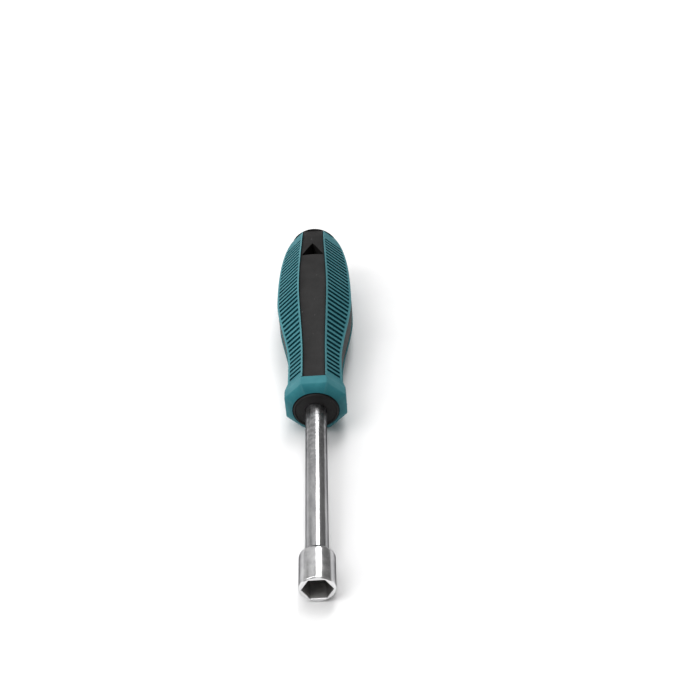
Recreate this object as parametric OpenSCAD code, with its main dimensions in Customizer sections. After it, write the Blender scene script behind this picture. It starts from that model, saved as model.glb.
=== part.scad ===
// Fixed nut driver: steel socket and shank in a two-shot moulded handle.
// The tool lies along Y. The origin is the centre of the socket's mouth, which faces -Y.

/* [Socket] */
// Size of the hexagon, across its flats
across_flats = 10; // [7:0.5:11]
// Wall left outside the corners of the hexagon
socket_wall = 1; // [0.8:0.1:2.5]
// Length of the socket, from its mouth to its shoulder
socket_len = 16; // [15:0.5:24]
// Depth of the hexagon
hex_depth = 9; // [6:0.5:9.5]
// Depth of the drilled pilot hole, where the shank's end sits
pilot_depth = 11; // [10:0.5:13]
// How far the lead-in taper reaches past the corners of the hexagon
lead_in = 0.2; // [0.1:0.05:0.4]
// Depth of the lead-in taper
lead_in_depth = 0.4; // [0.2:0.1:1.5]
// Chamfer round the outside of the mouth
rim_chamfer = 0.4; // [0.2:0.05:0.5]
// Radius of the rounded rear shoulder
shoulder_r = 2; // [1:0.1:2.3]

/* [Shank] */
// Diameter of the shank
shaft_d = 8.6; // [7.8:0.1:9]
// Wall of the hollow front of the shank, which a long bolt passes into
shaft_wall = 1; // [0.7:0.1:1.6]
// Length of the hollow, from the shank's front end
stud_len = 74; // [40:1:90]
// Distance from the socket's mouth to the nose of the handle
reach = 92; // [60:1:150]
// Length of the shank inside the handle
tang_len = 60; // [45:1:70]
// Span across the two wings of the tang
wing_span = 14; // [11:0.5:15]
// Thickness of the wings
wing_t = 2.4; // [1.5:0.1:3]
// Length of the wings
wing_len = 16; // [8:1:24]

/* [Handle] */
// Length of the handle, from its nose to its rear end
handle_len = 116; // [112:1:130]
// Diameter of the nose disc
nose_d = 19.2; // [16:0.2:20.4]
// How far the nose disc bulges forward
nose_bulge = 0.8; // [0.3:0.1:2]
// Diameter over the long edges of the strips at the waist
waist_d = 24.2; // [22.5:0.1:24.8]
// Distance of the waist behind the nose
waist_at = 23; // [17:0.5:32]
// Diameter over the long edges of the strips at the belly
belly_d = 34.6; // [32:0.2:38]
// Distance of the belly behind the nose
belly_at = 63; // [54:0.5:70]

/* [Panels] */
// Width of a panel at the waist and where the strips end
panel_waist_w = 9.3; // [8:0.1:10.5]
// Width of a panel at the belly
panel_belly_w = 11.9; // [11:0.1:13]
// How far the middle of a panel lies below the round that the edges of the strips lie on
panel_drop = 1.2; // [0.6:0.1:1.6]
// Distance from the tool's axis to the far axis that a panel's crown is turned about
crown_offset = 19; // [12:1:30]

/* [Hanging hole] */
// Panel left on each side of the triangle's base
hang_border = 0.4; // [0.4:0.1:3]
// Length of the triangle, from its base to its point
hang_len = 10.2; // [6:0.1:11]
// Distance of its point from the rear end of the handle
hang_from_end = 20.8; // [16:0.2:26]

/* [Soft grip] */
// Size of the eight-sided collar, across its flats
collar_af = 25; // [24.4:0.1:27]
// Length of the collar
collar_len = 7.2; // [5:0.1:10]
// Length of the sloped facets at the front of the collar
collar_slope_len = 2.6; // [0.8:0.1:3.4]
// Distance behind the nose at which the collar's diagonal facets start to fall to the strips
fade_at = 6; // [3.6:0.1:7]
// How far past the collar they meet the strips
fade_len = 4.4; // [2:0.1:8]
// Diameter over the long edges of the strips where they leave the collar
strip_front_d = 24.6; // [23.6:0.1:25]
// Thickness of the strips
strip_t = 2.2; // [1.6:0.1:2.6]
// Length of the bare rounded end behind the strips
cap_len = 6; // [4:0.5:12]
// Distance from one groove to the next
groove_pitch = 2.55; // [1.8:0.05:3.2]
// Width of a groove
groove_w = 1.4; // [0.6:0.05:1.6]
// Depth of a groove
groove_depth = 0.7; // [0.3:0.05:1]
// Smooth border left along each side of a strip
strip_border = 0.8; // [0.6:0.1:2]
// Distance of the first groove behind the collar
groove_gap = 5; // [0.8:0.1:6]
// Smooth stretch left at the rear of each strip
strip_smooth_len = 9.2; // [3:0.1:16]

/* [Hidden] */
$fn = 64;

// How far a cutting shape runs past what it cuts
overrun = 1;
// Straight steps in each curved stretch of an outline
curve_steps = 8;
rear_steps = 14;
// Exponents of the rounded rear: how early it falls away, and how blunt it ends
rear_fall_share = 2;
rear_blunt_share = 0.31;
// From a panel to the strip beside it, and from one panel to the next
strip_turn = 45;
panel_turn = 90;

hex_r = across_flats / 2 / cos(30);
socket_r = hex_r + socket_wall;
nose_r = nose_d / 2;
waist_r = waist_d / 2;
belly_r = belly_d / 2;
collar_r = collar_af / 2;
strip_front_r = strip_front_d / 2;
strip_end = handle_len - cap_len;
// Reaches past the corners of a square bar that holds the whole handle
through_len = belly_d / cos(strip_turn) + overrun;

// Eases from 0 to 1 with level ends
function ease(t) = t * t * (3 - 2 * t);

// Share of the belly's radius that is left at a share of the way from the belly to the rear end
function rear_round_share(t) = pow(max(0, 1 - pow(t, rear_fall_share)), rear_blunt_share);

// Radius over the long edges of the strips at a distance behind the nose
function swell(at) =
    at < waist_at ? waist_r + (strip_front_r - waist_r) * pow((waist_at - at) / (waist_at - collar_len), 2)
    : at < belly_at ? waist_r + (belly_r - waist_r) * ease((at - waist_at) / (belly_at - waist_at))
    : belly_r * rear_round_share((at - belly_at) / (handle_len - belly_at));

// Share of the way from a panel's narrow ends to its widest place, at the belly
function widen_share(at) = at < belly_at
    ? (swell(at) - waist_r) / (belly_r - waist_r)
    : ease((strip_end - at) / (strip_end - belly_at));

// Half the width of a panel
function panel_half(at) = (panel_waist_w + (panel_belly_w - panel_waist_w) * widen_share(at)) / 2;

// Distance of a strip's flat face from the axis, so that its long edges lie on the round
function strip_face(at) =
    (panel_half(at) + sqrt(pow(swell(at), 2) - pow(panel_half(at), 2))) * cos(strip_turn);

// Places along the handle between two distances behind the nose
function places(from, to, steps) = [for (i = [0:steps]) from + (to - from) * i / steps];

// Places along the strips, which lie closer together where the outline bends
strip_places = concat(
    places(collar_len, waist_at, curve_steps),
    [for (at = places(waist_at, belly_at, curve_steps)) if (at > waist_at) at],
    [for (at = places(belly_at, strip_end, curve_steps)) if (at > belly_at) at]);

// The same places and one past each end, for shapes that cut right through
cut_places = concat([collar_len - overrun], strip_places, [strip_end + overrun]);

// Places round the rear end, close together at its tip
cap_places = [for (i = [0:rear_steps]) strip_end + (handle_len - strip_end) * sin(90 * i / rear_steps)];

// Stands a shape that was drawn along Z on the tool's axis, with Z running back along Y
module along_tool() {
    rotate([-90, 0, 0]) children();
}

// The same, measured back from the nose of the handle
module behind_nose() {
    along_tool() translate([0, 0, reach]) children();
}

// Turns an outline of [radius, distance] points about the axis
module turned(outline) {
    rotate_extrude() polygon(outline);
}

// Extrudes an outline of [side, distance] points up and down through the handle
module through_handle(outline) {
    rotate([90, 0, 0])
        linear_extrude(height = through_len, center = true)
            polygon(outline);
}

// A closed outline from half its width at each place, the same on both sides
function both_sides(half_widths, at_places) = concat(
    [for (i = [0:len(at_places) - 1]) [half_widths[i], at_places[i]]],
    [for (i = [len(at_places) - 1:-1:0]) [-half_widths[i], at_places[i]]]);

// Outline of a panel, seen from above, widened by a border on each side
function panel_outline(border, at_places) =
    both_sides([for (at = at_places) panel_half(at) + border], at_places);

// The four panels' places, as a cross of two slabs, widened by a border on each side
module panel_cross(border, at_places) {
    for (turn = [0, panel_turn])
        rotate(turn) through_handle(panel_outline(border, at_places));
}

// The steel socket
module socket_head() {
    shoulder_arc = [for (i = [0:curve_steps])
        let (turn = 90 * i / curve_steps)
        [socket_r - shoulder_r + shoulder_r * cos(turn), socket_len - shoulder_r + shoulder_r * sin(turn)]];
    color("silver") along_tool() difference() {
        turned(concat(
            [[0, 0], [socket_r - rim_chamfer, 0], [socket_r, rim_chamfer]],
            shoulder_arc,
            [[0, socket_len]]));
        translate([0, 0, -overrun])
            cylinder(r = hex_r, h = hex_depth + overrun, $fn = 6);
        cylinder(r1 = hex_r + lead_in, r2 = hex_r, h = lead_in_depth, $fn = 6);
        translate([0, 0, hex_depth - overrun])
            cylinder(d = across_flats, h = pilot_depth - hex_depth + overrun);
        translate([0, 0, pilot_depth - overrun])
            cylinder(d = shaft_d, h = socket_len - pilot_depth + 2 * overrun);
    }
}

// The outside of the shank with its wings, as the handle is moulded round it
module shaft_outside() {
    tail = reach + tang_len;
    translate([0, 0, pilot_depth]) cylinder(d = shaft_d, h = tail - pilot_depth);
    translate([-wing_span / 2, -wing_t / 2, tail - wing_len]) cube([wing_span, wing_t, wing_len]);
}

// The steel shank
module shaft() {
    color("lightgray") along_tool() difference() {
        shaft_outside();
        translate([0, 0, pilot_depth - overrun])
            cylinder(d = shaft_d - 2 * shaft_wall, h = stud_len + overrun);
    }
}

// Nose disc with a slight bulge, and the neck that the collar grips
module nose_and_neck() {
    bulge_arc = [for (i = [0:curve_steps])
        let (side = nose_r * i / curve_steps)
        [side, -nose_bulge * (1 - pow(side / nose_r, 2))]];
    turned(concat(bulge_arc, [[nose_r, collar_len], [0, collar_len]]));
}

// One long panel, turned about a far axis so that it has a slight crown
module panel_arm() {
    intersection() {
        rotate([90, 0, 0])
            linear_extrude(height = belly_d)
                polygon(panel_outline(0, strip_places));
        translate([0, crown_offset, 0])
            turned(concat(
                [[0, collar_len]],
                [for (at = strip_places) [swell(at) - panel_drop + crown_offset, at]],
                [[0, strip_end]]));
    }
}

// A square bar whose four faces lie below the faces of the strips
module strip_bar(below, at_places) {
    outline = both_sides([for (at = at_places) strip_face(at) - below], at_places);
    intersection_for(turn = [strip_turn, strip_turn + panel_turn])
        rotate(turn) through_handle(outline);
}

// Triangular hole through the rear of the handle, pointing backwards
module hang_hole() {
    point_at = handle_len - hang_from_end;
    base_at = point_at - hang_len;
    base_half = panel_half(base_at) - hang_border;
    through_handle([[-base_half, base_at], [base_half, base_at], [0, point_at]]);
}

// The hard core of the handle
module handle_core() {
    color("dimgray") difference() {
        behind_nose() difference() {
            union() {
                nose_and_neck();
                difference() {
                    strip_bar(strip_t, strip_places);
                    panel_cross(-overrun, cut_places);
                }
                for (turn = [0:panel_turn:270])
                    rotate(turn) panel_arm();
                turned(concat([[0, strip_end]], [for (at = cap_places) [swell(at), at]]));
            }
            hang_hole();
        }
        along_tool() shaft_outside();
    }
}

// Eight-sided collar with sloped front facets, whose diagonal facets fall to the strips
module collar() {
    meet_at = collar_len + fade_len;
    fall = (collar_r - strip_face(meet_at)) / (meet_at - fade_at);
    sunk_at = meet_at + overrun;
    sunk_r = strip_face(meet_at) - fall * overrun;
    front = [[-nose_r, 0], [nose_r, 0], [collar_r, collar_slope_len]];
    level = concat(front, [[collar_r, sunk_at], [-collar_r, sunk_at], [-collar_r, collar_slope_len]]);
    falling = concat(front, [
        [collar_r, fade_at], [sunk_r, sunk_at],
        [-sunk_r, sunk_at], [-collar_r, fade_at], [-collar_r, collar_slope_len]]);
    difference() {
        intersection_for(turn = [0, panel_turn]) {
            rotate(turn) intersection() {
                through_handle(level);
                rotate(strip_turn) through_handle(falling);
            }
        }
        translate([0, 0, -overrun]) cylinder(r = nose_r, h = collar_len + overrun);
        strip_bar(strip_t, strip_places);
        panel_cross(0, strip_places);
    }
}

// Four strips with flat faces
module strips() {
    difference() {
        strip_bar(0, strip_places);
        strip_bar(strip_t, cut_places);
        panel_cross(0, cut_places);
    }
}

// Grooves across the strips, which stop short of their long edges
module grooves() {
    first = collar_len + groove_gap;
    last = strip_end - strip_smooth_len - groove_w;
    difference() {
        for (front = [first:groove_pitch:last])
            translate([-belly_r, -belly_r, front]) cube([belly_d, belly_d, groove_w]);
        strip_bar(groove_depth, cut_places);
        panel_cross(strip_border, cut_places);
    }
}

// The soft grip: collar and four ribbed strips
module soft_grip() {
    color("teal") behind_nose() difference() {
        union() {
            collar();
            strips();
        }
        grooves();
    }
}

socket_head();
shaft();
handle_core();
soft_grip();
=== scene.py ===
# %% [markdown]
# # Dressing a nut driver
# A nut driver is a socket on a stick: a steel socket, a steel shank, and a handle that is moulded round the shank in
# two shots, hard plastic first and soft rubber over it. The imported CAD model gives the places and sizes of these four
# pieces. This lesson builds a finer copy of each one in the same frame, gives it a finish, and lights it.
# The tool lies along Y, its mouth is at the origin, and the handle is towards +Y.

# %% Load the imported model
import math

import bmesh
import bpy
from mathutils import Matrix, Vector


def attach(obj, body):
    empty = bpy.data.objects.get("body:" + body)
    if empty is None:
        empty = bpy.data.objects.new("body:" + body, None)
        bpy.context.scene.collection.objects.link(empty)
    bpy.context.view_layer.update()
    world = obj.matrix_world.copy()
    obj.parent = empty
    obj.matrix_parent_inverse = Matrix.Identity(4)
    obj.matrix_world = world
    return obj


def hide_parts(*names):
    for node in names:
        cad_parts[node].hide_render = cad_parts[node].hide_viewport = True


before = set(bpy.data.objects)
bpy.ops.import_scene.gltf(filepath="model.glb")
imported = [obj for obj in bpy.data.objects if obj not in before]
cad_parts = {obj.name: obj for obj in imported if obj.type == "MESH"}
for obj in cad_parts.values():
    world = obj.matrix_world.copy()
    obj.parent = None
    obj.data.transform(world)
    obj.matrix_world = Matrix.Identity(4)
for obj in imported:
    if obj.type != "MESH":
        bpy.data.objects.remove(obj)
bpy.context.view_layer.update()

print("CAD nodes:", sorted(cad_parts))

# %% [markdown]
# ## The outline of the handle
# The handle has eight sides: four hard panels and four flat soft strips between them. Every section of it follows one
# curve, the radius over the long edges of the strips. It could be drawn as a Bezier curve, but both mouldings have to
# fit each other all along, so the curve is a few plain functions of the distance behind the nose. Sizes are in
# millimetres here, as on a drawing, and become metres where a point is placed.

# %% Sizes of the tool
MM = 0.001
REACH = 92.0
HANDLE_LEN = 116.0
WAIST_R, WAIST_AT = 12.1, 23.0
BELLY_R, BELLY_AT = 17.3, 63.0
REAR_FALL, REAR_BLUNT = 2.0, 0.31
PANEL_WAIST_W, PANEL_BELLY_W = 9.3, 11.9
PANEL_DROP, CROWN_OFFSET = 1.2, 19.0
COLLAR_R, COLLAR_LEN, COLLAR_SLOPE = 12.5, 7.2, 2.6
STRIP_FRONT_R, STRIP_T, STRIP_END = 12.3, 2.2, 110.0
FADE_AT, FADE_END = 6.0, 11.6
NOSE_R, NOSE_BULGE = 9.6, 0.8
DIAGONAL = math.sqrt(0.5)


# %% Functions of the distance behind the nose
def ease(t):
    return t * t * (3 - 2 * t)


def swell(at):
    """Radius over the long edges of the strips."""
    if at < WAIST_AT:
        return WAIST_R + (STRIP_FRONT_R - WAIST_R) * ((WAIST_AT - at) / (WAIST_AT - COLLAR_LEN)) ** 2
    if at < BELLY_AT:
        return WAIST_R + (BELLY_R - WAIST_R) * ease((at - WAIST_AT) / (BELLY_AT - WAIST_AT))
    rear = (at - BELLY_AT) / (HANDLE_LEN - BELLY_AT)
    return BELLY_R * max(0.0, 1 - rear ** REAR_FALL) ** REAR_BLUNT


def panel_half(at):
    """Half the width of a panel, which is widest at the belly."""
    if at < BELLY_AT:
        share = (swell(at) - WAIST_R) / (BELLY_R - WAIST_R)
    else:
        share = ease(max(0.0, STRIP_END - at) / (STRIP_END - BELLY_AT))
    return (PANEL_WAIST_W + (PANEL_BELLY_W - PANEL_WAIST_W) * share) / 2


def strip_face(at):
    """Distance of a strip's flat face from the axis."""
    half = panel_half(at)
    return (half + math.sqrt(swell(at) ** 2 - half ** 2)) * DIAGONAL


for at in (COLLAR_LEN, WAIST_AT, BELLY_AT, STRIP_END):
    print(f"{at:5.1f} mm behind the nose: radius {swell(at):.2f}, panel {2 * panel_half(at):.2f} wide")

# %% [markdown]
# ## Camera and floor
# The tool rests on its belly and on the socket, so its axis slopes by a few degrees and it is rolled a little. The
# part itself stays square in its own frame. The floor and the camera are tilted instead, by one matrix that turns
# floor coordinates into the tool's.

# %% From the floor's frame to the tool's
TILT, HEADING, ROLL = math.radians(3.6), math.radians(-1.4), math.radians(3.5)
MOUTH_ON_FLOOR = Vector((-11.5, 327.8, 6.8 / math.cos(TILT))) * MM

along = Vector((math.sin(HEADING) * math.cos(TILT), math.cos(HEADING) * math.cos(TILT), math.sin(TILT)))
upward = Vector((-math.sin(HEADING) * math.sin(TILT), -math.cos(HEADING) * math.sin(TILT), math.cos(TILT)))
sideways = Vector((math.cos(HEADING), -math.sin(HEADING), 0.0))
tool_x = sideways * math.cos(ROLL) + upward * math.sin(ROLL)
tool_z = upward * math.cos(ROLL) - sideways * math.sin(ROLL)
tool_to_floor = Matrix((tool_x, along, tool_z)).transposed().to_4x4()
tool_to_floor.translation = MOUTH_ON_FLOOR
floor_to_tool = tool_to_floor.inverted()
print("the tool's axis slopes by", round(math.degrees(TILT), 1), "degrees")

# %% The camera
CAMERA_HEIGHT, CAMERA_PITCH = 0.3637, math.radians(37.36)
FOCAL_PIXELS, IMAGE_PIXELS, SENSOR = 1350.0, 700.0, 36.0

scene = bpy.context.scene
camera_data = bpy.data.cameras.new("camera")
camera_data.sensor_width = SENSOR
camera_data.lens = SENSOR * FOCAL_PIXELS / IMAGE_PIXELS
camera_data.clip_start = 0.01
camera = bpy.data.objects.new("camera", camera_data)
scene.collection.objects.link(camera)
camera_turn = Matrix.Rotation(math.pi / 2 - CAMERA_PITCH, 4, "X")
camera.matrix_world = floor_to_tool @ Matrix.Translation((0, 0, CAMERA_HEIGHT)) @ camera_turn
scene.camera = camera
print(f"lens {camera_data.lens:.1f} mm")

# %% The floor
FLOOR_HALF = 6.0

floor_mesh = bmesh.new()
bmesh.ops.create_grid(floor_mesh, x_segments=1, y_segments=1, size=FLOOR_HALF)
bmesh.ops.transform(floor_mesh, matrix=floor_to_tool, verts=floor_mesh.verts)
floor_data = bpy.data.meshes.new("floor")
floor_mesh.to_mesh(floor_data)
floor_mesh.free()
floor = bpy.data.objects.new("floor", floor_data)
scene.collection.objects.link(floor)
print("floor:", 2 * FLOOR_HALF, "m wide")

# %% [markdown]
# ## Light
# Chrome shows its surroundings more than itself, so the light is planned as shapes. A soft box behind and above gives
# the bright line down the shank, a sheet and a low card at the rear left give the grey beside it, and a sheet in front
# lights the rim of the socket. Two large boxes, at the left and above, light the handle, and its right side stays dim.
# An HDR image would be quicker, but plain area lights are easier to move and need no file.

# %% Soft boxes and the room
MIDDLE = Vector((0.0, 0.43, 0.01))
ROOM_COLOUR, ROOM_STRENGTH = (1.0, 0.99, 0.985, 1), 0.2


def add_softbox(name, place, size, power):
    """An area light at a place in the floor's frame that looks at the middle of the tool."""
    data = bpy.data.lights.new(name, "AREA")
    data.shape = "RECTANGLE"
    data.size, data.size_y = size
    data.energy = power
    light = bpy.data.objects.new(name, data)
    scene.collection.objects.link(light)
    turn = (MIDDLE - Vector(place)).to_track_quat("-Z", "Y").to_matrix().to_4x4()
    light.matrix_world = floor_to_tool @ Matrix.Translation(place) @ turn


add_softbox("rear_strip", (0.13, 1.17, 1.2), (0.48, 0.8), 7.5)
add_softbox("rear_left_sheet", (-0.67, 1.5, 0.9), (0.9, 0.9), 1.2)
add_softbox("low_left_card", (-1.25, 1.55, 0.32), (1.5, 0.6), 1.2)
add_softbox("front_sheet", (0.15, -1.1, 0.95), (0.9, 0.3), 0.9)
add_softbox("left_box", (-1.1, -0.2, 1.1), (1.2, 1.2), 16.0)
add_softbox("top_box", (-0.3, 0.5, 1.7), (1.4, 1.4), 16.0)

room = bpy.data.worlds.new("pale_room")
scene.world = room
room.use_nodes = True
room.node_tree.nodes["Background"].inputs["Color"].default_value = ROOM_COLOUR
room.node_tree.nodes["Background"].inputs["Strength"].default_value = ROOM_STRENGTH
scene.view_settings.view_transform = "Standard"

# %% [markdown]
# ## Building a material
# All the finishes are made from the same few parts: noise in the object's own coordinates, mixed between two colours
# or two roughnesses, and a bump. A few small helpers add the nodes and link them, so that each finish below reads as a
# recipe.

# %% Helpers for materials
def start_finish(name):
    """A new material, its node tree, its shader and the object's coordinates."""
    material = bpy.data.materials.new(name)
    material.use_nodes = True
    tree = material.node_tree
    places = tree.nodes.new("ShaderNodeTexCoord").outputs["Object"]
    print("finish:", name)
    return material, tree, tree.nodes["Principled BSDF"], places


def add_node(tree, kind, output, inputs, **settings):
    """Adds a node, sets or links its inputs, and returns one of its outputs."""
    node = tree.nodes.new(kind)
    for name, value in settings.items():
        setattr(node, name, value)
    for name, value in inputs.items():
        if isinstance(value, bpy.types.NodeSocket):
            tree.links.new(value, node.inputs[name])
        else:
            node.inputs[name].default_value = value
    return node.outputs[output]


def noise(tree, places, scale, detail=3.0):
    return add_node(tree, "ShaderNodeTexNoise", 0, {"Vector": places, "Scale": scale, "Detail": detail})


def spread(tree, value, low, high, to_low=0.0, to_high=1.0):
    """Maps a range of values onto another one."""
    return add_node(tree, "ShaderNodeMapRange", 0, {
        "Value": value, "From Min": low, "From Max": high, "To Min": to_low, "To Max": to_high})


def between(tree, share, first, second):
    """A colour between two others. Sockets 0, 6 and 7 of the node are its share and its two colours."""
    return add_node(tree, "ShaderNodeMix", 2, {0: share, 6: first, 7: second}, data_type="RGBA")


def combine(tree, operation, first, second):
    """The sum or the product of two values."""
    return add_node(tree, "ShaderNodeMath", 0, {0: first, 1: second}, operation=operation)


def along_tool(tree, places):
    """The distance behind the mouth, in metres."""
    return add_node(tree, "ShaderNodeSeparateXYZ", "Y", {"Vector": places})


def stretched(tree, places, scale):
    return add_node(tree, "ShaderNodeMapping", 0, {"Vector": places, "Scale": scale})


def bump(tree, height, strength, distance):
    return add_node(tree, "ShaderNodeBump", 0, {"Height": height, "Strength": strength, "Distance": distance})


# %% [markdown]
# ### Paper floor
# A studio floor is matt white card. It gets a faint mottle, so that it isn't one flat colour.

# %% Floor finish
card, tree, shader, places = start_finish("white_card")
mottle = spread(tree, noise(tree, places, 30.0), 0.3, 0.7)
tree.links.new(between(tree, mottle, (0.86, 0.86, 0.865, 1), (0.9, 0.9, 0.9, 1)), shader.inputs["Base Color"])
shader.inputs["Roughness"].default_value = 0.7
shader.inputs["Specular IOR Level"].default_value = 0.2
floor.data.materials.append(card)

# %% [markdown]
# ### Satin chrome of the socket
# The socket is tumbled before it is plated, so its chrome is bright with a fine, even grain. Noise at a fifth of a
# millimetre drives a small bump, and a coarser noise changes the tone and the roughness a little from place to place.
# The end is ground, so the rim and its lead-in are brighter, and the broached hole is left dull.

# %% Socket finish
# Specular Tint darkens the chrome's reflection at grazing angles near its silhouettes: a painted dark reflection along
# the edges.
DARK_EDGE_REFLECTION_TINT = (0.1, 0.1, 0.103, 1)

socket_chrome, tree, shader, places = start_finish("satin_chrome")
shader.inputs["Metallic"].default_value = 1.0
shader.inputs["Specular Tint"].default_value = DARK_EDGE_REFLECTION_TINT
cloud = noise(tree, places, 260.0, 4.0)
plated = between(tree, spread(tree, cloud, 0.35, 0.65), (0.6, 0.6, 0.61, 1), (0.78, 0.78, 0.785, 1))
flattened = stretched(tree, places, (1.0, 0.0, 1.0))
off_axis = add_node(tree, "ShaderNodeVectorMath", "Value", {0: flattened}, operation="LENGTH")
depth = along_tool(tree, places)
inside_wall = spread(tree, off_axis, 5.9 * MM, 5.8 * MM)
in_bore = combine(tree, "MULTIPLY", inside_wall, spread(tree, depth, 0.3 * MM, 0.6 * MM))
ground = between(tree, spread(tree, depth, 0.9 * MM, 0.3 * MM), plated, (0.8, 0.8, 0.805, 1))
tree.links.new(between(tree, in_bore, ground, (0.42, 0.415, 0.41, 1)), shader.inputs["Base Color"])
gloss = spread(tree, cloud, 0.3, 0.7, 0.17, 0.27)
dulled = spread(tree, in_bore, 0.0, 1.0, 0.0, 0.22)
tree.links.new(combine(tree, "ADD", gloss, dulled), shader.inputs["Roughness"])
grain = noise(tree, places, 5200.0, 2.0)
tree.links.new(bump(tree, grain, 0.12, 0.03 * MM), shader.inputs["Normal"])

# %% [markdown]
# ### Drawn chrome of the shank
# The shank is drawn bar, so its grain runs along it. The same noise is stretched along Y by a Mapping node. Small dull
# pits stand for thin plating, and the colour is darkened in mottled patches that grow towards the handle. The last
# centimetre or so is rougher, so that the dark reflection of the nose fades out softly.

# %% Shank finish
DARKENING_FROM, ROUGH_FROM = 45.0, 78.0

shank_chrome, tree, shader, places = start_finish("drawn_chrome")
shader.inputs["Metallic"].default_value = 1.0
shader.inputs["Specular Tint"].default_value = DARK_EDGE_REFLECTION_TINT
drawn = noise(tree, stretched(tree, places, (2600.0, 90.0, 2600.0)), 1.0, 4.0)
blotch = noise(tree, stretched(tree, places, (420.0, 110.0, 420.0)), 1.0, 3.0)
bar = between(tree, spread(tree, blotch, 0.35, 0.65), (0.46, 0.46, 0.47, 1), (0.6, 0.6, 0.605, 1))
pits = spread(tree, noise(tree, stretched(tree, places, (1500.0, 900.0, 1500.0)), 1.0, 2.0), 0.68, 0.74)
bar = between(tree, pits, bar, (0.2, 0.195, 0.19, 1))
depth = along_tool(tree, places)
# Mottled patches that darken the colour more and more towards the handle.
mottle = spread(tree, noise(tree, places, 700.0, 4.0), 0.35, 0.6, 0.3, 1.0)
mottled_darkening = combine(tree, "MULTIPLY", spread(tree, depth, DARKENING_FROM * MM, REACH * MM), mottle)
tree.links.new(between(tree, mottled_darkening, bar, (0.2, 0.2, 0.205, 1)), shader.inputs["Base Color"])
gloss = spread(tree, drawn, 0.3, 0.7, 0.14, 0.27)
unpolished = spread(tree, depth, ROUGH_FROM * MM, REACH * MM, 0.0, 0.17)
tree.links.new(combine(tree, "ADD", gloss, unpolished), shader.inputs["Roughness"])
tree.links.new(bump(tree, drawn, 0.1, 0.03 * MM), shader.inputs["Normal"])

# %% [markdown]
# ### Charcoal plastic
# The hard moulding comes from a spark-eroded tool, which leaves a fine matt texture. A fine noise makes the bump and
# the roughness, a coarse one changes the tone, and a few pale specks of dust lie on it.

# %% Plastic finish
charcoal, tree, shader, places = start_finish("charcoal_plastic_texture")
tone = spread(tree, noise(tree, places, 120.0, 4.0), 0.3, 0.7)
plastic = between(tree, tone, (0.007, 0.0068, 0.0068, 1), (0.016, 0.0152, 0.0152, 1))
speck = spread(tree, noise(tree, places, 900.0, 1.0), 0.79, 0.82)
tree.links.new(between(tree, speck, plastic, (0.12, 0.12, 0.12, 1)), shader.inputs["Base Color"])
spark = noise(tree, places, 3800.0, 3.0)
tree.links.new(spread(tree, spark, 0.3, 0.7, 0.5, 0.66), shader.inputs["Roughness"])
shader.inputs["Specular IOR Level"].default_value = 0.2
tree.links.new(bump(tree, spark, 0.22, 0.04 * MM), shader.inputs["Normal"])

# %% [markdown]
# ### Teal rubber
# The soft shot is a matt rubber. It is painted paler along the edges, on the crests beside the grooves and on the
# collar, partly for the wear of hands and partly as painted highlight where light catches them. It is painted darker in
# the grooves, on the side walls of the strips and at the seam round the nose, which is painted shade. Those places are
# known when the mesh is built, so the mesh carries two attributes, and the finish reads them. Real rubber has a white
# gloss, but here it would turn the dark grooves grey, so it is tinted. That is a choice for the look.

# %% Rubber finish
teal_rubber, tree, shader, places = start_finish("teal_rubber_skin")
tone = spread(tree, noise(tree, places, 160.0, 5.0), 0.3, 0.7)
rubber = between(tree, tone, (0.022, 0.13, 0.155, 1), (0.038, 0.178, 0.203, 1))
wear_and_highlight = add_node(tree, "ShaderNodeAttribute", "Fac", {}, attribute_name="wear_and_highlight")
# Paler where the attribute marks wear and painted highlight: along edges, on groove crests and on the collar.
rubber = between(tree, spread(tree, wear_and_highlight, 0.0, 1.0, 0.0, 0.45), rubber, (0.15, 0.33, 0.355, 1))
painted_shade = add_node(tree, "ShaderNodeAttribute", "Fac", {}, attribute_name="painted_shade")
# Darker where the attribute marks painted shade: in the grooves, on the side walls of the strips and at the seam round
# the nose.
rubber = between(tree, spread(tree, painted_shade, 0.0, 0.25, 0.0, 0.95), rubber, (0.0005, 0.033, 0.046, 1))
tree.links.new(rubber, shader.inputs["Base Color"])
skin = noise(tree, places, 4600.0, 3.0)
tree.links.new(spread(tree, skin, 0.3, 0.7, 0.5, 0.66), shader.inputs["Roughness"])
tree.links.new(bump(tree, skin, 0.16, 0.03 * MM), shader.inputs["Normal"])
shader.inputs["Specular IOR Level"].default_value = 0.24
shader.inputs["Specular Tint"].default_value = (0.2, 0.85, 0.95, 1)

# %% [markdown]
# ## Building with rings
# A round or eight-sided bar can be made by spinning a profile, or by extruding a ring of points again and again and
# moving each new ring to its section. Spin is quicker where every section is a circle. The second way also takes
# sections that change shape along the tool, so it makes the handle.

# %% Helpers for meshes
def pull(bm, row, spots, closed=True):
    """Extrudes a row of vertices, puts the new row at the spots, and returns it."""
    ends = row[1:] + row[:1] if closed else row[1:]
    edges = [bm.edges.get(pair) for pair in zip(row, ends)]
    made = bmesh.ops.extrude_edge_only(bm, edges=edges)["geom"]
    fresh = {item for item in made if isinstance(item, bmesh.types.BMVert)}
    new_row = [next(e.other_vert(v) for e in v.link_edges if e.other_vert(v) in fresh) for v in row]
    for vert, spot in zip(new_row, spots):
        vert.co = spot
    return new_row


def first_ring(bm, spots, filled=False):
    """A closed ring at the spots, filled with a face where it ends a solid."""
    row = bmesh.ops.create_circle(bm, segments=len(spots), radius=MM, cap_ends=filled)["verts"]
    for vert, spot in zip(row, spots):
        vert.co = spot
    return row


def circle(radius, y, turns):
    """Spots of a ring round the tool's axis, from turns in radians away from +Z towards +X."""
    return [Vector((radius * math.sin(t), y, radius * math.cos(t))) * MM for t in turns]


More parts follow.
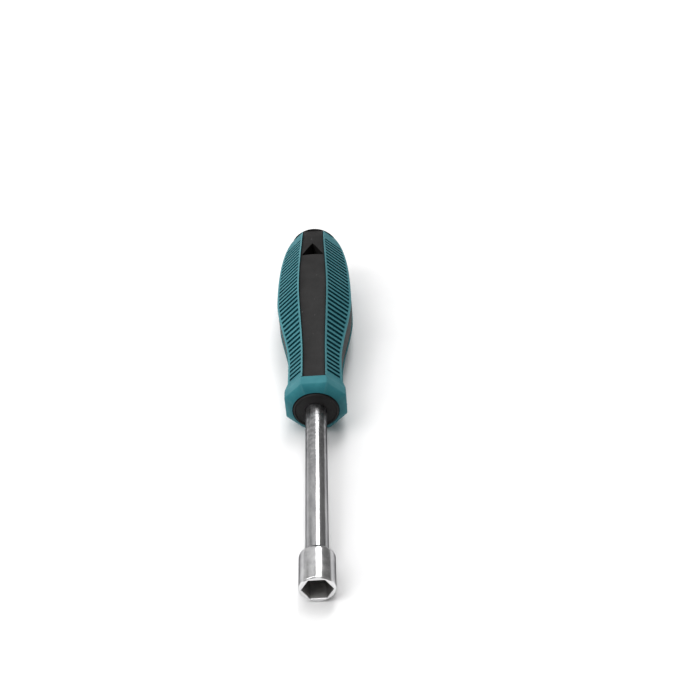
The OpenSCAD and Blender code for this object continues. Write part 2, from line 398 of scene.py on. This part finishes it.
def finish_piece(bm, name, material, width, angle):
    """Turns the faces outwards, makes the object, and rounds the edges that are sharper than an angle in degrees."""
    bmesh.ops.recalc_face_normals(bm, faces=bm.faces)
    open_edges = sum(not edge.is_manifold for edge in bm.edges)
    mesh = bpy.data.meshes.new(name)
    bm.to_mesh(mesh)
    bm.free()
    mesh.shade_smooth()
    mesh.materials.append(material)
    piece = bpy.data.objects.new(name, mesh)
    scene.collection.objects.link(piece)
    rounding = piece.modifiers.new("rounded_edges", "BEVEL")
    rounding.width = width * MM
    rounding.segments = 2
    rounding.limit_method = "ANGLE"
    rounding.angle_limit = math.radians(angle)
    rounding.harden_normals = True
    print(f"{name}: {len(mesh.polygons)} faces, {open_edges} open edges")
    return piece


# %% [markdown]
# ## The socket
# The socket is forged, turned outside, and broached inside with a hexagon that takes the nut. A small taper at its
# mouth leads the nut in. A Boolean could cut the hexagon, but here the whole profile is spun round the axis, and then
# the rings of the hole are pushed from circles to hexagons: the one at the mouth to a slightly larger one, the two
# inside to the nut's own size. HEX_RINGS and MOUTH_RING are the radii that these rings have while they are circles.

# %% Profile of the socket
HEX_FLAT, HEX_DEPTH, PILOT_DEPTH = 5.0, 9.0, 11.0
SOCKET_LEN, SOCKET_WALL, SHOULDER_R = 16.0, 1.0, 2.0
LEAD_IN, LEAD_IN_DEPTH, RIM = 0.2, 0.4, 0.4
SHAFT_R, SEAT_CUT = 4.3, 0.25
HEX_CORNER = HEX_FLAT / math.cos(math.pi / 6)
SOCKET_R = HEX_CORNER + SOCKET_WALL
PILOT_R, HEX_RINGS, MOUTH_RING = 4.7, 5.4, 5.6
SOCKET_STEPS, SHOULDER_STEPS = 96, 6

shoulder_turns = [math.pi / 2 * step / SHOULDER_STEPS for step in range(SHOULDER_STEPS + 1)]
shoulder = [(SOCKET_R - SHOULDER_R * (1 - math.cos(t)), SOCKET_LEN - SHOULDER_R * (1 - math.sin(t)))
            for t in shoulder_turns]
profile = [
    (MOUTH_RING, 0.0), (SOCKET_R - RIM, 0.0), (SOCKET_R, RIM), *shoulder,
    (SHAFT_R + SEAT_CUT, SOCKET_LEN), (SHAFT_R, SOCKET_LEN - SEAT_CUT), (SHAFT_R, PILOT_DEPTH),
    (PILOT_R, PILOT_DEPTH), (PILOT_R, HEX_DEPTH), (HEX_RINGS, HEX_DEPTH), (HEX_RINGS, LEAD_IN_DEPTH)]
print("points of the profile:", len(profile))

# %% Spin it and broach the hexagon
SIXTH = math.pi / 3
SAME_SPOT, SAME_RING = 0.001, 0.01

socket_mesh = bmesh.new()
corners = [socket_mesh.verts.new(Vector((radius, y, 0.0)) * MM) for radius, y in profile]
lines = [socket_mesh.edges.new(pair) for pair in zip(corners, corners[1:] + corners[:1])]
bmesh.ops.spin(socket_mesh, geom=corners + lines, cent=(0, 0, 0), axis=(0, 1, 0),
               angle=2 * math.pi, steps=SOCKET_STEPS, use_merge=True)
bmesh.ops.remove_doubles(socket_mesh, verts=socket_mesh.verts, dist=SAME_SPOT * MM)
for vert in socket_mesh.verts:
    radius = math.hypot(vert.co.x, vert.co.z)
    for ring, corner in ((HEX_RINGS, HEX_CORNER), (MOUTH_RING, HEX_CORNER + LEAD_IN)):
        if abs(radius - ring * MM) < SAME_RING * MM:
            turn = math.atan2(vert.co.z, vert.co.x)
            wall = corner * math.cos(SIXTH / 2) / math.cos(turn % SIXTH - SIXTH / 2)
            vert.co.x, vert.co.z = vert.co.x * wall / ring, vert.co.z * wall / ring
steel_socket = finish_piece(socket_mesh, "steel_socket", socket_chrome, width=0.1, angle=25)

# %% [markdown]
# ## The shank
# The shank is drawn bar, hollow at the front for the end of a long bolt. Two wings are forged on its tail, and the
# plastic that is moulded round them carries the torque. Its sections are rings, so it is pulled from the floor of
# the hollow forwards, over the front end, and back to the tail.

# %% Rings of the shank
RING = 72
HOLLOW_R, HOLLOW_END, END_CUT = 3.3, 85.0, 0.3
TAIL, WING_LEN, WING_HALF, WING_T = 152.0, 16.0, 7.0, 2.4
WING_STEPS, WING_RAMP = 4, 0.5
WING_ROOT = TAIL - WING_LEN - WING_RAMP
ring_turns = [math.radians(360 * k / RING - 45) for k in range(RING)]
right, left = 3 * RING // 8, 7 * RING // 8


def tang_ring(y):
    """A ring of the tail with its two wings, which lie at +X and -X."""
    spots = circle(SHAFT_R, y, ring_turns)
    for middle in (right, left):
        for step in range(-WING_STEPS, WING_STEPS + 1):
            spot = spots[middle + step]
            root = abs(step) == WING_STEPS
            share = min(1.0, abs(step) / (WING_STEPS - 1))
            reach = math.sqrt(SHAFT_R ** 2 - WING_T ** 2 / 4) if root else WING_HALF
            spot.x = math.copysign(reach * MM, spot.x)
            spot.z = math.copysign(share * WING_T / 2 * MM, spot.z)
    return spots


shank_mesh = bmesh.new()
row = first_ring(shank_mesh, circle(HOLLOW_R, HOLLOW_END, ring_turns), filled=True)
for radius, y in ((HOLLOW_R, PILOT_DEPTH + END_CUT), (HOLLOW_R + END_CUT, PILOT_DEPTH),
                  (SHAFT_R - END_CUT, PILOT_DEPTH), (SHAFT_R, PILOT_DEPTH + END_CUT), (SHAFT_R, WING_ROOT)):
    row = pull(shank_mesh, row, circle(radius, y, ring_turns))
for y in (TAIL - WING_LEN, TAIL):
    row = pull(shank_mesh, row, tang_ring(y))
bmesh.ops.contextual_create(shank_mesh, geom=row)
steel_shank = finish_piece(shank_mesh, "steel_shank", shank_chrome, width=0.12, angle=30)

# %% [markdown]
# ## The hard moulding
# One chain of rings makes the whole moulding: it starts at the bottom of the pocket round the tang, comes forward to
# the nose, turns outwards over the nose disc and the neck, runs back as an eight-sided section with four panels and
# four beds for the strips, and ends in the round rear end. A ring has the same number of columns everywhere, so each
# column has a job: on a panel, on a panel's rounded edge, or on a bed.

# %% Columns of a section
EDGE_R = 0.9
RISE_AT, RISE = 103.0, 0.45
DIP_LEN, DIP = 0.9, 0.5
half_columns = [("panel", 0.0), ("panel", 0.33), ("panel", 0.67), ("edge", 0.0), ("edge", 0.5), ("edge", 1.0),
                ("bed", 0.0), ("bed", 0.33), ("bed", 0.67), ("bed", 1.0)]


def mirrored(half):
    """The columns of a whole quarter, from those of its right half."""
    return [(*column, -1) for column in half[:0:-1]] + [(*column, 1) for column in half[:-1]]


core_columns = mirrored(half_columns)


def on_quarter(side, out, quarter):
    """A section's point on one of the four quarters, from above round to the right."""
    return ((side, out), (out, -side), (-side, -out), (-out, side))[quarter]


def crown(side, at):
    """Height of a panel, turned about a far axis, that dips at the collar and rises to the round end."""
    dip = DIP * max(0.0, 1 - (at - COLLAR_LEN) / DIP_LEN) ** 2
    drop = PANEL_DROP - RISE * ease(max(0.0, at - RISE_AT) / (STRIP_END - RISE_AT))
    return math.sqrt((swell(at) - drop + CROWN_OFFSET) ** 2 - side ** 2) - CROWN_OFFSET - dip


def bed_spot(share, at):
    """A point of a strip's bed, from the panel's wall (0) to the middle of the strip (1)."""
    low = strip_face(at) - STRIP_T
    across = (low - panel_half(at) / DIAGONAL) * (1 - share)
    return (low - across) * DIAGONAL, (low + across) * DIAGONAL


def core_section(kind, share, at):
    """A point of a section: out to the side from a panel's middle, and out from the axis."""
    half = panel_half(at)
    if kind == "bed":
        return bed_spot(share, at)
    if kind == "panel":
        side = (half - EDGE_R) * share
        return side, crown(side, at)
    turn = share * math.pi / 2
    return half - EDGE_R * (1 - math.sin(turn)), crown(half - EDGE_R, at) - EDGE_R * (1 - math.cos(turn))


print("columns in a ring:", 4 * len(core_columns))

# %% Rings of the pocket, the nose and the neck
ENTRY_DEPTH, ENTRY_CUT = 0.3, 0.15
DOME_RINGS = (5.2, 6.4, 7.6, 8.3)
LIP_INNER, LIP_CREST, LIP_OUTER = 8.55, 8.85, 9.15
LIP_RISE, LIP_SIDE = 0.6, 0.3
GAP_DEPTH, GAP_SLOPE = 0.6, 0.1

nose_rows = [(SHAFT_R, WING_ROOT), (SHAFT_R, REACH + ENTRY_DEPTH)]
for radius in (SHAFT_R + ENTRY_CUT, *DOME_RINGS):
    nose_rows.append((radius, REACH - NOSE_BULGE * (1 - (radius / NOSE_R) ** 2)))
nose_rows += [
    (LIP_INNER, REACH - LIP_RISE), (LIP_CREST, REACH - LIP_RISE), (LIP_OUTER, REACH - LIP_SIDE),
    (LIP_OUTER, REACH + GAP_DEPTH), (NOSE_R, REACH + GAP_DEPTH + GAP_SLOPE), (NOSE_R, REACH + COLLAR_LEN)]

core_mesh = bmesh.new()
row = first_ring(core_mesh, tang_ring(TAIL), filled=True)
row = pull(core_mesh, row, tang_ring(TAIL - WING_LEN))
for radius, y in nose_rows:
    row = pull(core_mesh, row, circle(radius, y, ring_turns))
print("rings of the nose:", len(nose_rows))

# %% Rings of the panels and beds
DIP_RINGS, LAST_RING = (7.5, 7.8, 8.2), 108.8
EVEN_FROM, EVEN_STEP, EVEN_COUNT = 10.0, 2.5, 40


def section_ring(at, section_of):
    """Spots of a whole ring at a distance behind the nose."""
    spots = []
    for quarter in range(4):
        for kind, share, sign in core_columns:
            side, out = section_of(kind, share, at)
            x, z = on_quarter(sign * side, out, quarter)
            spots.append(Vector((x, REACH + at, z)) * MM)
    return spots


even_rings = [EVEN_FROM + EVEN_STEP * ring for ring in range(EVEN_COUNT)]
for at in (COLLAR_LEN, *DIP_RINGS, *even_rings, LAST_RING, STRIP_END):
    row = pull(core_mesh, row, section_ring(at, core_section))
print("rings of the panels and beds:", len(DIP_RINGS) + EVEN_COUNT + 3)

# %% The rear end
END_RINGS = 16
PANEL_SHARE, BED_FROM = 0.9, 1.04


def end_turn(kind, share):
    """Turn of a column on the round end, away from the middle of its panel."""
    corner = math.asin(panel_half(STRIP_END) / swell(STRIP_END))
    if kind == "bed":
        return corner * BED_FROM + (math.pi / 4 - corner * BED_FROM) * share
    return corner * (PANEL_SHARE * share if kind == "panel" else PANEL_SHARE + (1 - PANEL_SHARE) * share)


def end_section(kind, share, at):
    turn = end_turn(kind, share)
    return swell(at) * math.sin(turn), swell(at) * math.cos(turn)


for ring in range(END_RINGS):
    radius = swell(STRIP_END) * (1 - ring / END_RINGS)
    fall = 1 - (radius / BELLY_R) ** (1 / REAR_BLUNT)
    at = BELLY_AT + (HANDLE_LEN - BELLY_AT) * fall ** (1 / REAR_FALL)
    row = pull(core_mesh, row, section_ring(at, end_section))
bmesh.ops.contextual_create(core_mesh, geom=row)
print("hard moulding:", len(core_mesh.faces), "faces before the hole")

# %% [markdown]
# ### The hanging hole
# The hole is a triangle that goes right through the top and bottom panels. A Boolean modifier would cut it, but it
# leaves long thin faces on a curved panel. Three bisecting planes cut the triangle's sides into the panel's faces,
# the faces inside are deleted, and the two openings are bridged.

# %% Cut the hanging hole
HANG_POINT, HANG_LEN, HANG_BORDER = 95.2, 10.2, 0.4
SEARCH, SEARCH_OUT = 6.0, 9.0
PLANE_SNAP, CORNER_MERGE = 0.0005, 0.2
hang_base = HANG_POINT - HANG_LEN
hang_half = panel_half(hang_base) - HANG_BORDER
slant = Vector((HANG_LEN, hang_half, 0.0)).normalized()
base_co = Vector((0.0, REACH + hang_base, 0.0)) * MM
point_co = Vector((0.0, REACH + HANG_POINT, 0.0)) * MM
sides = [(base_co, Vector((0, -1, 0))), (point_co, slant), (point_co, Vector((-slant.x, slant.y, 0)))]


def near_hole(face):
    """Whether a face lies round the hole on the top or the bottom panel, and not in the pocket."""
    middle = face.calc_center_median()
    on_panel = abs(middle.x) < SEARCH * MM and abs(middle.z) > SEARCH_OUT * MM
    return on_panel and abs(middle.y - base_co.y) < (HANG_LEN + SEARCH) * MM


for co, normal in sides:
    faces = [face for face in core_mesh.faces if near_hole(face)]
    parts = set(faces) | {e for f in faces for e in f.edges} | {v for f in faces for v in f.verts}
    bmesh.ops.bisect_plane(core_mesh, geom=list(parts), dist=PLANE_SNAP * MM, plane_co=co, plane_no=normal)
inside = [face for face in core_mesh.faces if near_hole(face)
          and all((face.calc_center_median() - co).dot(normal) < 0 for co, normal in sides)]
bmesh.ops.delete(core_mesh, geom=inside, context="FACES")
rim_corners = [vert for vert in core_mesh.verts if vert.is_boundary]
bmesh.ops.remove_doubles(core_mesh, verts=rim_corners, dist=CORNER_MERGE * MM)
rims = [edge for edge in core_mesh.edges if edge.is_boundary]
bmesh.ops.bridge_loops(core_mesh, edges=rims)
print("hanging hole:", len(rims), "edges on its two rims")
handle_moulding = finish_piece(core_mesh, "handle_moulding", charcoal, width=0.2, angle=30)

# %% [markdown]
# ## The soft moulding
# The grip is one rubber moulding: an eight-sided collar, and four flat strips that run back from it. Its outside is
# built first as a thin sheet, from the collar's front edge back to the ends of the strips. Then the whole sheet is
# extruded inwards, which gives it its thickness and its side walls at once.

# %% Columns and sections of the grip
GROOVE_FIRST, GROOVE_PITCH, GROOVE_W, GROOVE_COUNT = 12.2, 2.55, 1.4, 35
GROOVES_FROM, BORDER = 0.25, 0.8
CORNER_SOFT, CORNER_STEP, SLOPE_SOFT = 0.07, 0.3, 0.3
groove_edges = [GROOVE_FIRST + GROOVE_PITCH * n + w for n in range(GROOVE_COUNT) for w in (0.0, GROOVE_W)]
half_grip = [("collar", 0.0), ("collar", 0.5), ("collar", 0.92), ("collar", 1.0),
             ("strip", 0.0), ("strip", GROOVES_FROM), ("strip", 0.5), ("strip", 0.75), ("strip", 1.0)]
grip_columns = mirrored(half_grip)
QUARTER = len(grip_columns)


def face_height(at):
    """Distance of the diagonal facets from the axis: level on the collar, then falling to the strips."""
    fallen = COLLAR_R + (strip_face(FADE_END) - COLLAR_R) * (at - FADE_AT) / (FADE_END - FADE_AT)
    return min(COLLAR_R, fallen) if at < FADE_END else strip_face(at)


def across_strip(share, height, at):
    """How far a strip's column lies from the strip's middle. The grooves end at the share GROOVES_FROM."""
    edge = height - panel_half(at) / DIAGONAL
    if at < FADE_END:
        corner = 2 * COLLAR_R * DIAGONAL - height
        edge = min(edge, corner - (CORNER_STEP if at <= COLLAR_LEN else 0.0))
    grooves_end = edge - BORDER / DIAGONAL
    return edge if share == 0 else grooves_end * (1 - share) / (1 - GROOVES_FROM)


def grip_section(kind, share, at):
    """A point on the outside of the grip."""
    height = face_height(at)
    if kind == "collar":
        softened = 1 - CORNER_SOFT / COLLAR_R if share == 1 else 1.0
        return (height / DIAGONAL - COLLAR_R) * share * softened, COLLAR_R * softened
    across = across_strip(share, height, at)
    return (height - across) * DIAGONAL, (height + across) * DIAGONAL


def grip_inside(kind, share, at):
    """The point under it: on the neck inside the collar, on the bed under a strip."""
    if kind == "strip" and at > COLLAR_LEN:
        low = strip_face(at) - STRIP_T
        edge = low - panel_half(at) / DIAGONAL
        across = edge * across_strip(share, face_height(at), at) / across_strip(0, face_height(at), at)
        return (low - across) * DIAGONAL, (low + across) * DIAGONAL
    side, out = grip_section(kind, share, at)
    scale = NOSE_R / math.hypot(side, out)
    return side * scale, out * scale


print("columns round the grip:", 4 * QUARTER)

# %% The outside as a sheet
# How much paler the rubber is painted, for wear and painted highlight: along edges, at the collar's corners, on crests
# and on the collar.
EDGE_WEAR_AND_HIGHLIGHT, CORNER_WEAR_AND_HIGHLIGHT, CREST_WEAR_AND_HIGHLIGHT, COLLAR_WEAR_AND_HIGHLIGHT = 1.0, 0.25, 0.4, 0.25
# How dark the painted shade is at the nose seam, on the inside and the strips' side walls, and in the grooves.
SEAM_PAINTED_SHADE, WALL_PAINTED_SHADE, GROOVE_PAINTED_SHADE = 0.12, 0.3, 1.0

grip_mesh = bmesh.new()
column_id = grip_mesh.verts.layers.int.new("column_id")
behind = grip_mesh.verts.layers.float.new("behind")
wear_and_highlight_layer = grip_mesh.verts.layers.float.new("wear_and_highlight")
painted_shade_layer = grip_mesh.verts.layers.float.new("painted_shade")


def grip_spot(index, at, section):
    quarter, place = divmod(index, QUARTER)
    kind, share, sign = grip_columns[place]
    side, out = section(kind, share, at)
    x, z = on_quarter(sign * side, out, quarter)
    return Vector((x, REACH + at, z)) * MM


def mark(row, indices, at):
    """Writes on each vertex its column, its distance behind the nose, its share of wear and painted highlight, and its
    share of painted shade.
    """
    for vert, index in zip(row, indices):
        kind, share, _ = grip_columns[index % QUARTER]
        vert[column_id] = index
        vert[behind] = at
        on_edge = share == (1.0 if kind == "collar" else 0.0)
        on_collar = COLLAR_SLOPE < at <= COLLAR_LEN
        # Paler paint for wear and painted highlight on the groove crests, on the collar and along the edges.
        wear_and_highlight_share = CREST_WEAR_AND_HIGHLIGHT if at in groove_edges else COLLAR_WEAR_AND_HIGHLIGHT if on_collar else 0.0
        edge_wear_and_highlight_share = CORNER_WEAR_AND_HIGHLIGHT if at <= COLLAR_LEN else EDGE_WEAR_AND_HIGHLIGHT
        vert[wear_and_highlight_layer] = edge_wear_and_highlight_share if on_edge else wear_and_highlight_share
        # The seam round the nose gets painted shade.
        vert[painted_shade_layer] = SEAM_PAINTED_SHADE if at == 0 else 0.0


everywhere = list(range(4 * QUARTER))
slope_top = [grip_spot(i, COLLAR_SLOPE, grip_section) for i in everywhere]
neck_turns = [math.atan2(spot.x, spot.z) for spot in slope_top]
row = first_ring(grip_mesh, circle(NOSE_R, REACH, neck_turns))
mark(row, everywhere, 0.0)
slope_share = 1 - SLOPE_SOFT / COLLAR_SLOPE
row = pull(grip_mesh, row, [vert.co.lerp(spot, slope_share) for vert, spot in zip(row, slope_top)])
mark(row, everywhere, COLLAR_SLOPE * slope_share)
for at in (COLLAR_SLOPE + SLOPE_SOFT, FADE_AT, COLLAR_LEN):
    row = pull(grip_mesh, row, [grip_spot(i, at, grip_section) for i in everywhere])
    mark(row, everywhere, at)
print("collar:", len(grip_mesh.faces), "faces")

# %% The four strips run on from the collar
STRIP_WIDE, STRIP_START, REAR_ROWS = 9, 0.35, 8
rear_rows = [groove_edges[-1] + (STRIP_END - groove_edges[-1]) * n / REAR_ROWS for n in range(1, REAR_ROWS + 1)]
strip_rows = sorted([COLLAR_LEN + STRIP_START, FADE_END, *groove_edges, *rear_rows])
for quarter in range(4):
    start = quarter * QUARTER + QUARTER - STRIP_WIDE // 2
    indices = [(start + n) % (4 * QUARTER) for n in range(STRIP_WIDE)]
    strip_row = [row[i] for i in indices]
    for at in strip_rows:
        strip_row = pull(grip_mesh, strip_row, [grip_spot(i, at, grip_section) for i in indices], closed=False)
        mark(strip_row, indices, at)
print("outside of the grip:", len(grip_mesh.faces), "faces")

# %% Thickness, by extruding the sheet inwards
SEAM_DEPTH = 0.6
made = bmesh.ops.extrude_face_region(grip_mesh, geom=list(grip_mesh.faces))["geom"]
for vert in (item for item in made if isinstance(item, bmesh.types.BMVert)):
    at = vert[behind]
    vert.co = grip_spot(vert[column_id], at, grip_inside)
    vert[column_id] = -1
    # The inside, with the side walls of the strips, gets painted shade.
    vert[painted_shade_layer] = WALL_PAINTED_SHADE
    if at == 0.0:
        vert.co.y += SEAM_DEPTH * MM
bmesh.ops.recalc_face_normals(grip_mesh, faces=grip_mesh.faces)
print("grip with its inside:", len(grip_mesh.faces), "faces")

# %% [markdown]
# ### The grooves
# The strips have straight grooves across them, which stop at a smooth border on each side. Every groove is already
# a row of faces of the sheet, so one inset with a negative depth sinks them all and leaves sloped walls.

# %% Sink the grooves
GROOVE_SLOPE, GROOVE_DEPTH, NEAR = 0.1, 0.7, 0.01


def is_groove(face):
    """Whether a face of the outside lies between the two edges of a groove."""
    if any(vert[column_id] < 0 for vert in face.verts):
        return False
    columns = [grip_columns[vert[column_id] % QUARTER] for vert in face.verts]
    if any(kind != "strip" or share < GROOVES_FROM for kind, share, _ in columns):
        return False
    front = min(vert[behind] for vert in face.verts)
    back = max(vert[behind] for vert in face.verts)
    number = (front - GROOVE_FIRST) / GROOVE_PITCH
    on_pitch = abs(number - round(number)) < NEAR and number < GROOVE_COUNT
    return on_pitch and abs(back - front - GROOVE_W) < NEAR


grooves = [face for face in grip_mesh.faces if is_groove(face)]
bmesh.ops.inset_region(grip_mesh, faces=grooves, thickness=GROOVE_SLOPE * MM, depth=-GROOVE_DEPTH * MM,
                       use_even_offset=True)
# The groove floors get painted shade.
for face in grooves:
    for vert in face.verts:
        vert[painted_shade_layer] = GROOVE_PAINTED_SHADE
print("groove faces:", len(grooves))
soft_overmould = finish_piece(grip_mesh, "soft_overmould", teal_rubber, width=0.12, angle=28)

# %% [markdown]
# ## The pieces stand in for the CAD nodes
# Each row lists a piece, the CAD node that it stands for, and the record's material slot. The piece rides on the tool's
# only body, and the CAD node is hidden.

# %% Ride and replace
for piece, node, slot in (
        (steel_socket, "socket_head", "socket_chrome"),
        (steel_shank, "shaft", "shank_chrome"),
        (handle_moulding, "handle_core", "charcoal_plastic"),
        (soft_overmould, "soft_grip", "teal_rubber")):
    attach(piece, "root")
    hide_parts(node)
